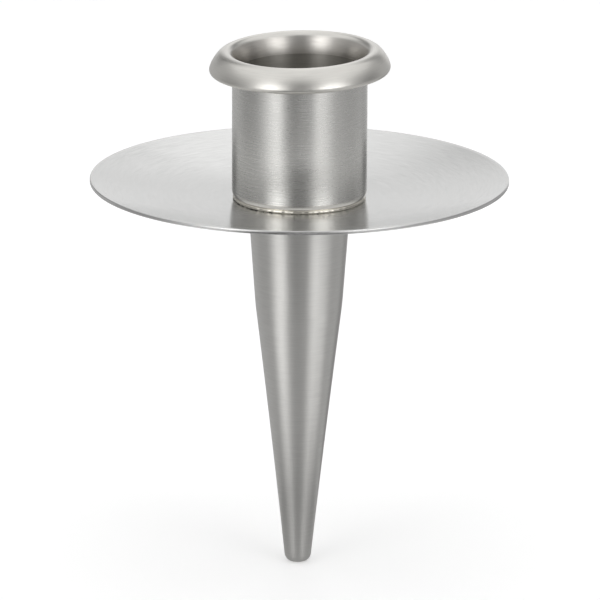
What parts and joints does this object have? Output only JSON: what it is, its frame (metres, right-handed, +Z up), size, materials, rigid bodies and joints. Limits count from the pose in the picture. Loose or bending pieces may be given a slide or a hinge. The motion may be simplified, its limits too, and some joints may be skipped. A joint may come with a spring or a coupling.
{
  "type": "taper candle holder",
  "caption": "Steel cup with a rolled rim on a dished drip pan, with a tapered plug below that stands in a bottle neck.",
  "frame": {"origin": "on the axis, at the underside of the drip pan, where the holder rests on the lip of a bottle", "axes": "+Z up along the axis, out of the mouth of the cup; X and Y in the plane of the pan"},
  "size_m": [0.075, 0.075, 0.0952],
  "materials": {
    "cup_steel": "brushed round the axis",
    "pan_steel": "brushed in circles",
    "solder": "silver solder, wiped smooth",
    "spike_steel": "brushed round the axis",
    "turned_steel": "turned",
    "screw_steel": "plain"
  },
  "bodies": {
    "root": {"candle_cup": "cup_steel", "drip_pan": "pan_steel", "solder_bead": "solder", "spike_shell": "spike_steel", "spike_plug": "turned_steel", "clamp_screw": "screw_steel", "lock_washer": "screw_steel"}
  },
  "joints": []
}
